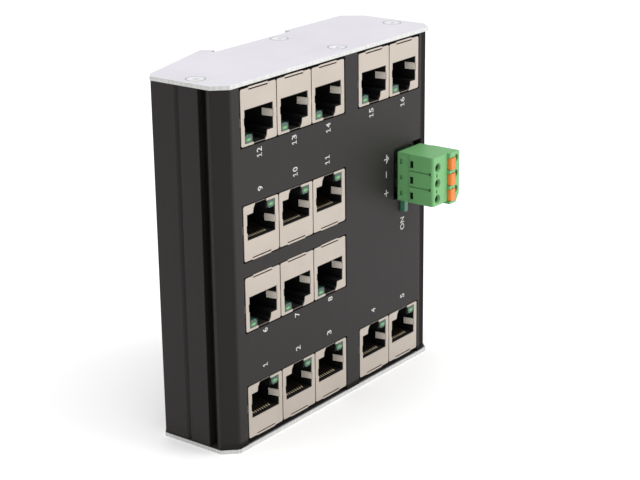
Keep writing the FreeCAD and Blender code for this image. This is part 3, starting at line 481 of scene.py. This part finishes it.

# %% [markdown]
# ## Light pipes
#
# A clear moulded pipe in the corner of every jack carries light from a lamp on the board. Unlit,
# it looks a dull sea green, with a brighter green patch where the lamp's lens shows through it.
# Real clear plastic here would only show the black cavity behind. So the depth is painted: the
# place within each jack is found by wrapping X round the jacks' pitch, and a soft round mask
# about the middle of each pipe holds the brighter patch, a painted highlight over the lens. The
# patch, and more faintly the rest of each pipe, also glows a little, which is painted light.

# %% Where each pipe's patch is
PITCH = 16.0
LEFT_GROUP, RIGHT_GROUP = -35.9, 19.1
BETWEEN_GROUPS = (6.0, 6.5)
PIPE_FROM_MIDDLE = 4.55
LEFT_PIPES_UP, RIGHT_PIPES_UP = 0.95, 1.05
PATCH_RIM, PATCH_HEART = 1.05, 0.1
SQUEEZE_ACROSS, SQUEEZE_UP = 0.45, 2.2
PIPE_ROWS = {"port_leds_row_1": -1, "port_leds_row_2": 1, "port_leds_row_3": -1, "port_leds_row_4": 1}


def patch(pipe, row, side):
    """One in the middle of each pipe of a row, which is left (-1) or right (1) in its jack."""
    x = along(pipe, "X")
    group = LEFT_GROUP + (RIGHT_GROUP - LEFT_GROUP) * ramp(pipe, x, *BETWEEN_GROUPS)
    off = pipe.node("Math", {"operation": "WRAP"},
                    {0: x - (group + side * PIPE_FROM_MIDDLE), 1: PITCH / 2, 2: -PITCH / 2})
    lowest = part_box(row)[0].z / MM
    middle = lowest + (LEFT_PIPES_UP if side < 0 else RIGHT_PIPES_UP)
    up = apart(along(pipe, "Z"), middle)
    reach = (off * off * SQUEEZE_ACROSS + up * SQUEEZE_UP) ** 0.5
    print(row, "patch at height", round(middle, 2), "mm")
    return ramp(pipe, reach, PATCH_RIM, PATCH_HEART)


# %% [markdown]
# All rows share one recipe, but each needs its own material, since the patch is at another height
# and on another side. A thin clear coat over a hazy body gives the moulded plastic's double
# gloss.

# %% Light pipe finish
PIPE_DARK, PIPE_LIGHT, PIPE_PATCH = (0.010, 0.040, 0.028), (0.030, 0.085, 0.060), (0.14, 0.40, 0.13)
PIPE_PAINTED_GLOW, PATCH_PAINTED_GLOW = (0.003, 0.010, 0.008), (0.05, 0.13, 0.045)
for row, side in PIPE_ROWS.items():
    pipe = Finish("light_pipe_" + row[-1], Specular_IOR_Level=0.4, Coat_Roughness=0.12,
                  Emission_Strength=0.35)
    # Painted light: the patch is a painted highlight, and the whole pipe gets a faint glow.
    painted_lit_patch = patch(pipe, row, side)
    haze = speckle(pipe, 0.8, detail=3.0)
    pipe.surface(
        Base_Color=blend(pipe, painted_lit_patch * 0.8, blend(pipe, haze, PIPE_DARK, PIPE_LIGHT), PIPE_PATCH),
        Emission_Color=blend(pipe, painted_lit_patch, PIPE_PAINTED_GLOW, PATCH_PAINTED_GLOW),
        Roughness=haze * 0.15 + 0.16,
        Coat_Weight=0.15 + haze * 0.15,
        Normal=bump(pipe, haze, 0.02, 0.5))
    soften(paint(pipe, row), 0.12)

# %% [markdown]
# The power light beside the supply plug is the same plastic in a narrow bar, so one slow
# gradient along it is enough: its colour lightens towards the top, and its faint glow, stronger
# towards the top, is painted light.

# %% Power light
BAR_LEVELS = (51.5, 55.5)
BAR_LOW, BAR_HIGH = (0.025, 0.11, 0.075), (0.06, 0.19, 0.11)
GLOW_LOW, GLOW_HIGH = (0.005, 0.03, 0.02), (0.02, 0.08, 0.04)
bar = Finish("light_pipe_bar", Specular_IOR_Level=0.6, Emission_Strength=0.25)
haze = speckle(bar, 0.8, detail=3.0)
rise = past(bar, "Z", BAR_LEVELS)
bar.surface(
    Base_Color=blend(bar, rise * 0.6 + haze * 0.4, BAR_LOW, BAR_HIGH),
    Emission_Color=blend(bar, rise, GLOW_LOW, GLOW_HIGH),
    Roughness=haze * 0.1 + 0.2)
soften(paint(bar, "power_led"), 0.15)

# %% [markdown]
# ## Windows in the supply plug
#
# The green plug has a small window in its left side for each pole, and a raised guard round its
# orange buttons. Here the windows are made wider and deeper, and the guard's thin wall left of
# each button is cut away, so that the button's side shows. The mesh could be edited by hand. A
# Boolean modifier with one hidden cutter is quicker to change and leaves the solid as it is.
# Each box of the cutter starts well outside the wall that it cuts, because a box that starts
# exactly on the wall's face can confuse a Boolean. The cutter is the plug's child, so the
# openings stay in their places when the plug is pulled.

# %% Helpers for new objects
def new_object(name, data):
    """Put new data into the scene as an object."""
    made = bpy.data.objects.new(name, data)
    scene.collection.objects.link(made)
    return made


def mesh_object(name, shape):
    """Turn an edited shape into an object of the scene and print what it holds."""
    mesh = bpy.data.meshes.new(name)
    shape.to_mesh(mesh)
    shape.free()
    print(name, "has", len(mesh.polygons), "faces")
    return new_object(name, mesh)


# %% Cut the windows
POLE_PITCH, MIDDLE_POLE = 5.08, 64.75
POLES = (MIDDLE_POLE - POLE_PITCH, MIDDLE_POLE, MIDDLE_POLE + POLE_PITCH)
PLUG_LEFT, PLUG_FRONT = 31.15, -25.0
GUARD_LEFT, GUARD_RIGHT, GUARD_REACH = 38.8, 39.25, 2.0
SEAT_LOW, SEAT_HIGH = -2.8, 1.2
WINDOW_FRONT, WINDOW_BACK, WINDOW_DEPTH = -17.45, -16.15, 2.6
WINDOW_LOW, WINDOW_HIGH = -1.6, 0.7
OVERREACH = 1.0
windows = bmesh.new()


def window(left, right, front, back, low, high):
    """Add one box to the cutter, in millimetres."""
    centre = Vector(((left + right) / 2, (front + back) / 2, (low + high) / 2)) * MM
    span = Vector((right - left, back - front, high - low)) * MM
    for corner in bmesh.ops.create_cube(windows, size=1.0)["verts"]:
        corner.co = centre + Vector(a * b for a, b in zip(corner.co, span))


for pole in POLES:
    window(GUARD_LEFT, GUARD_RIGHT, PLUG_FRONT - GUARD_REACH, PLUG_FRONT,
           pole + SEAT_LOW, pole + SEAT_HIGH)
    window(PLUG_LEFT - OVERREACH, PLUG_LEFT + WINDOW_DEPTH, WINDOW_FRONT, WINDOW_BACK,
           pole + WINDOW_LOW, pole + WINDOW_HIGH)
cutter = mesh_object("plug_windows", windows)
cutter.parent = nodes["plug_housing"]
cutter.hide_render = cutter.hide_viewport = True
opened = nodes["plug_housing"].modifiers.new("windows", "BOOLEAN")
opened.object, opened.operation, opened.solver = cutter, "DIFFERENCE", "EXACT"

# %% [markdown]
# ## The supply plug
#
# The plug is green polyamide and its release buttons are orange. Both come from an eroded mould,
# which leaves a dense, shallow pebble that breaks up highlights, so a fine bump matters more than
# colour. A touch of subsurface light would suit it, but baking drops it, so the colour itself
# wanders by a few percent instead. The wire entries, the side windows and the end that sits in
# the header are in shade and painted darker. The three poles are alike, so the height is wrapped
# round their pitch and one mask serves all. The buttons share the plug's masks and the recipe.

# %% Shade of the plug
BORE_ACROSS, BORE_LEVEL = 33.7, -0.7
BORE_RIM = (1.9, 1.5)
BORE_MOUTH = (PLUG_FRONT + 0.5, PLUG_FRONT + 1.1)
POCKET_LEFT = (PLUG_LEFT + 0.15, PLUG_LEFT + 0.9)
POCKET_RIGHT = (PLUG_LEFT + 3.2, PLUG_LEFT + 2.9)
POCKET_DEEP, POCKET_BAND = -16.75, (0.9, 0.6)
POCKET_LEVEL, POCKET_RISE = -0.45, (1.9, 1.5)
IN_HEADER, BESIDE_HEADER = (-11.6, -11.2), (29.5, 30.0)
PLUG_SHADE = (0.012, 0.016, 0.009)


def plug_shade(finish):
    """How dark the plug is, from its bores, its side windows and its end in the header."""
    x, y = along(finish, "X"), along(finish, "Y")
    level = finish.node("Math", {"operation": "WRAP"},
                        {0: along(finish, "Z") - MIDDLE_POLE, 1: POLE_PITCH / 2, 2: -POLE_PITCH / 2})
    from_bore = apart(x, BORE_ACROSS) + apart(level, BORE_LEVEL)
    bore = ramp(finish, from_bore, *BORE_RIM) * ramp(finish, y, *BORE_MOUTH)
    pocket = (ramp(finish, x, *POCKET_LEFT) * ramp(finish, x, *POCKET_RIGHT)
              * ramp(finish, apart(y, POCKET_DEEP), *POCKET_BAND)
              * ramp(finish, apart(level, POCKET_LEVEL), *POCKET_RISE))
    sunk = ramp(finish, y, *IN_HEADER) * ramp(finish, x, *BESIDE_HEADER) * (1 - bore)
    return (bore + pocket) * 0.93 + sunk * 0.8


# %% [markdown]
# The plug has many small edges close together, and a bevel modifier leaves slivers where two of
# its roundings meet. So the plug's edges are rounded in its shader, by a node that tilts the
# normal near an edge. The outline stays sharp, which doesn't show at this size.

# %% Coloured mouldings
SHADER_ROUNDING = 0.25
GREEN_DEEP, GREEN_PALE = (0.125, 0.36, 0.13), (0.175, 0.42, 0.165)
ORANGE_DEEP, ORANGE_PALE = (0.80, 0.195, 0.028), (0.90, 0.25, 0.042)


def coloured_moulding(name, deep, pale, gloss, pebble_mm):
    """Coloured plastic with an eroded mould's fine pebble."""
    finish = Finish(name, Specular_IOR_Level=0.45)
    pebble = speckle(finish, 4.5, detail=2.0)
    flow = speckle(finish, 0.11, detail=3.0)
    body = blend(finish, flow * 0.75 + pebble * 0.25, deep, pale)
    finish.surface(
        Base_Color=blend(finish, plug_shade(finish), body, PLUG_SHADE),
        Roughness=gloss + pebble * 0.1 + flow * 0.06,
        Normal=bump(finish, pebble, pebble_mm, 0.7, SHADER_ROUNDING))
    return finish


plug_green = coloured_moulding("plug_green", GREEN_DEEP, GREEN_PALE, 0.34, 0.012)
housing, = paint(plug_green, "plug_housing")
join_faces(housing)
button_orange = coloured_moulding("button_orange", ORANGE_DEEP, ORANGE_PALE, 0.34, 0.006)
soften(paint(button_orange, "release_button"), 0.2, 3, 25)

# %% [markdown]
# ## The circuit board
#
# The board hides behind the jacks and shows only through gaps. Solder mask is a glossy green
# varnish over copper, and the copper below makes lighter fields. A Voronoi texture with square
# cells gives such fields at no cost in geometry, and a slow noise makes the varnish uneven.

# %% Board and its parts
FIELDS_PER_MM, FIELD_EDGE = 0.35, (0.25, 0.4)
MASK_DARK, MASK_LIGHT = (0.012, 0.085, 0.03), (0.03, 0.17, 0.06)
OCHRE_DEEP, OCHRE_PALE = (0.62, 0.36, 0.08), (0.78, 0.48, 0.13)
board = Finish("board_green", Specular_IOR_Level=0.5)
cells = board.node("TexVoronoi", {"feature": "F1", "distance": "CHEBYCHEV"},
                   {"Vector": board.place, "Scale": FIELDS_PER_MM / MM}, "Distance")
copper = ramp(board, cells, *FIELD_EDGE)
resin = speckle(board, 0.5, detail=3.0)
board.surface(
    Base_Color=blend(board, copper * 0.7 + resin * 0.3, MASK_DARK, MASK_LIGHT),
    Roughness=resin * 0.15 + 0.22,
    Normal=bump(board, copper, 0.03, 0.6))
soften(paint(board, "main_board"), 0.05, 1)
capacitor_ochre = coloured_moulding("capacitor_ochre", OCHRE_DEEP, OCHRE_PALE, 0.45, 0.01)
soften(paint(capacitor_ochre, "supply_capacitors"), 0.15)

# %% [markdown]
# ## Printed lettering
#
# The port numbers and the marks of the supply poles are printed in off-white ink on the front
# panel, turned so that they read when the switch hangs on its rail. A picture would be the easy
# way, but it would blur close up. Text curves turned into a mesh stay sharp. The ink gets a real
# thickness of two hundredths of a millimetre and starts just in front of the panel, because two
# faces at the same place would flicker.

# %% Lettering tools
PANEL_FACE, INK_GAP, INK_THICK = -11.2, 0.004, 0.02
DIGIT_HIGH, DIGIT_WIDE, DIGIT_STEP = 2.2, 1.35, 1.6
INK_SPREAD = 0.010
ink_parts = bmesh.new()


def outlined(word):
    """Vertices and faces of a word, one unit high, from the standard font."""
    curve = bpy.data.curves.new("word", "FONT")
    curve.body = word
    curve.resolution_u = 3
    curve.offset = INK_SPREAD
    holder = bpy.data.objects.new("word", curve)
    flat = bpy.data.meshes.new_from_object(holder)
    corners = [vertex.co.copy() for vertex in flat.vertices]
    faces = [tuple(polygon.vertices) for polygon in flat.polygons]
    for made, kind in ((holder, bpy.data.objects), (curve, bpy.data.curves), (flat, bpy.data.meshes)):
        kind.remove(made)
    return corners, faces


def ink_in(shape, faces):
    """Print flat faces, given as (X, Z) in millimetres, and raise them by the ink's thickness."""
    made = [ink_parts.verts.new((x * MM, (PANEL_FACE - INK_GAP) * MM, z * MM)) for x, z in shape]
    flat = [ink_parts.faces.new([made[corner] for corner in face]) for face in faces]
    raised = bmesh.ops.extrude_face_region(ink_parts, geom=flat)["geom"]
    for vertex in (item for item in raised if isinstance(item, bmesh.types.BMVert)):
        vertex.co.y -= INK_THICK * MM


def print_word(word, x, low, high):
    """Print a word upwards along Z between two levels, centred on x."""
    corners, faces = outlined(word)
    left, foot = min(c.x for c in corners), min(c.y for c in corners)
    width = max(c.x for c in corners) - left
    height = max(c.y for c in corners) - foot
    ink_in([(x - ((c.y - foot) / height - 0.5) * DIGIT_HIGH, low + (c.x - left) / width * (high - low))
            for c in corners], faces)


def print_quad(corners):
    """Print one four-sided shape."""
    ink_in(corners, [(0, 1, 2, 3)])


# %% [markdown]
# Each digit fills a cell of the same size. Stretching a plain one to that size would make it a
# thick bar, so it is drawn from three strokes instead: a stem, a foot and a flag.

# %% Port numbers
ONE = (
    ((0.42, 0.0), (0.62, 0.0), (0.62, 1.0), (0.42, 1.0)),
    ((0.15, 0.0), (0.89, 0.0), (0.89, 0.14), (0.15, 0.14)),
    ((0.42, 0.83), (0.42, 1.0), (0.12, 0.78), (0.12, 0.66)),
)
NUMBER_ROWS = (
    (89.5, {12: -36.1, 13: -20.3, 14: -4.1, 15: 17.6, 16: 34.2}),
    (79.9, {10: -20.1, 11: -4.7}),
    (78.2, {9: -36.1}),
    (35.1, {6: -35.4, 7: -20.3, 8: -4.0}),
    (24.3, {1: -35.7, 2: -20.1, 3: -4.7, 4: 18.5, 5: 34.6}),
)


def print_digit(digit, x, low):
    """Print one digit in its own cell, centred on x, from a level upwards."""
    if digit != "1":
        print_word(digit, x, low, low + DIGIT_WIDE)
        return
    for stroke in ONE:
        print_quad([(x - (up - 0.5) * DIGIT_HIGH, low + side * DIGIT_WIDE) for side, up in stroke])


for end, row in NUMBER_ROWS:
    for number, x in row.items():
        digits = str(number)
        start = end - DIGIT_WIDE - DIGIT_STEP * (len(digits) - 1)
        for place, digit in enumerate(digits):
            print_digit(digit, x, start + place * DIGIT_STEP)
print("faces after the port numbers:", len(ink_parts.faces))

# %% [markdown]
# The marks beside the plug are a plus, a minus and an earth sign, all made of straight strokes
# of one width, and the small light is marked ON. Bars that only meet keep the print free of
# faces that lie in each other.

# %% Marks of the supply poles
MARKS_ACROSS, STROKE = 25.55, 0.28
PLUS_LEVEL, PLUS_ARM = 60.5, 1.1
MINUS_LOW, MINUS_HIGH = 65.5, 67.6
EARTH_LEVEL, EARTH_HALVES = 71.5, (1.45, 0.95, 0.4)
EARTH_SHIFT, EARTH_STEP, EARTH_STEM = 0.1, 0.55, 1.2
ON_ACROSS, ON_LOW, ON_HIGH = 34.4, 46.2, 50.4


def stroke_up(x, low, high):
    """Print a stroke along Z."""
    left, right = x - STROKE / 2, x + STROKE / 2
    print_quad([(left, low), (right, low), (right, high), (left, high)])


def stroke_across(left, right, level):
    """Print a stroke along X."""
    low, high = level - STROKE / 2, level + STROKE / 2
    print_quad([(left, low), (right, low), (right, high), (left, high)])


print_word("ON", ON_ACROSS, ON_LOW, ON_HIGH)
stroke_up(MARKS_ACROSS, PLUS_LEVEL - PLUS_ARM, PLUS_LEVEL + PLUS_ARM)
stroke_across(MARKS_ACROSS - PLUS_ARM, MARKS_ACROSS - STROKE / 2, PLUS_LEVEL)
stroke_across(MARKS_ACROSS + STROKE / 2, MARKS_ACROSS + PLUS_ARM, PLUS_LEVEL)
stroke_up(MARKS_ACROSS, MINUS_LOW, MINUS_HIGH)
earth_bar = MARKS_ACROSS + EARTH_SHIFT
for step, half in enumerate(EARTH_HALVES):
    stroke_up(earth_bar + step * EARTH_STEP, EARTH_LEVEL - half, EARTH_LEVEL + half)
stroke_across(MARKS_ACROSS - EARTH_STEM, earth_bar - STROKE / 2, EARTH_LEVEL)

# %% [markdown]
# Print is never quite even: the ink is thinner in places and the black shows through. A fine
# noise between two greys gives that. The print is a new piece, so the frame is told that it
# rides on the case.

# %% Ink finish
INK_THIN, INK_FULL = (0.42, 0.41, 0.40), (0.62, 0.61, 0.59)
bmesh.ops.recalc_face_normals(ink_parts, faces=ink_parts.faces)
lettering = mesh_object("printed_lettering", ink_parts)
ink = Finish("off_white_ink", Specular_IOR_Level=0.3)
thin = speckle(ink, 3.0, detail=3.0)
ink.surface(
    Base_Color=blend(ink, ramp(ink, thin, 0.3, 0.7), INK_THIN, INK_FULL),
    Roughness=thin * 0.1 + 0.5)
lettering.data.materials.append(ink.material)
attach(lettering, "case")

# %% [markdown]
# ## Camera
#
# The camera stands to the left and a little above, about half a metre away, with a long lens, so
# the verticals stay almost parallel. Its direction is given by an azimuth and an elevation about
# the switch, and a small roll.

# %% Camera
LENS, SENSOR = 93.9, 36.0
AZIMUTH, ELEVATION, ROLL = (math.radians(a) for a in (-52.54, 18.68, -0.71))
CAMERA_PLACE = (-0.3828, -0.2978, 0.2139)
camera_data = bpy.data.cameras.new("camera")
camera_data.sensor_width, camera_data.lens = SENSOR, LENS
camera = new_object("camera", camera_data)
away = Vector((math.sin(AZIMUTH) * math.cos(ELEVATION), -math.cos(AZIMUTH) * math.cos(ELEVATION),
               math.sin(ELEVATION)))
turn = away.to_track_quat("Z", "Y").to_matrix() @ Matrix.Rotation(ROLL, 3, "Z")
camera.rotation_euler = turn.to_euler()
camera.location = CAMERA_PLACE
scene.camera = camera
print("camera at", [round(c, 3) for c in camera.location])

# %% [markdown]
# ## Floor and light
#
# The switch stands on a plain pale floor in soft studio light. A white sky fills every side, one
# large panel overhead whitens the floor, and a second large panel in front brightens the face
# against the left side, which gives the form. Large panels make soft shadows and broad, quiet
# reflections in the metal.

# %% Floor
HALF_FLOOR, FLOOR_CELLS = 3.0, 8
FLOOR_GREY, FLOOR_WHITE = (0.94, 0.94, 0.94), (0.96, 0.96, 0.96)
floor_grid = bmesh.new()
bmesh.ops.create_grid(floor_grid, x_segments=FLOOR_CELLS, y_segments=FLOOR_CELLS, size=HALF_FLOOR)
floor = mesh_object("floor", floor_grid)
pale = Finish("pale_floor", Specular_IOR_Level=0.2)
paper = speckle(pale, 0.01)
pale.surface(Base_Color=blend(pale, paper, FLOOR_GREY, FLOOR_WHITE), Roughness=paper * 0.1 + 0.6)
floor.data.materials.append(pale.material)

# %% [markdown]
# The sky alone would light every side alike and leave the case without form. The two panels are
# aimed at the middle of the switch, so that moving one never turns it away.

# %% Sky and panels
SKY = 0.62
MIDDLE = Vector((0, 0, 0.055))
sky = bpy.data.worlds.new("studio")
sky.use_nodes = True
sky_inputs = sky.node_tree.nodes["Background"].inputs
sky_inputs["Color"].default_value = (1, 1, 1, 1)
sky_inputs["Strength"].default_value = SKY
scene.world = sky
scene.view_settings.view_transform = "Standard"
scene.view_settings.look = "None"


def panel(name, place, size, watts):
    """A square area light that looks at the middle of the switch."""
    light = bpy.data.lights.new(name, "AREA")
    light.shape, light.size, light.energy = "SQUARE", size, watts
    lamp = new_object(name, light)
    lamp.location = place
    lamp.rotation_euler = (lamp.location - MIDDLE).to_track_quat("Z", "Y").to_euler()
    print(name, "panel gives", watts, "watts from", round((lamp.location - MIDDLE).length, 2), "m")


panel("overhead", place=(-0.1, 0.0, 1.7), size=2.6, watts=29.0)
panel("front", place=(0.85, -1.4, 0.75), size=1.5, watts=19.5)
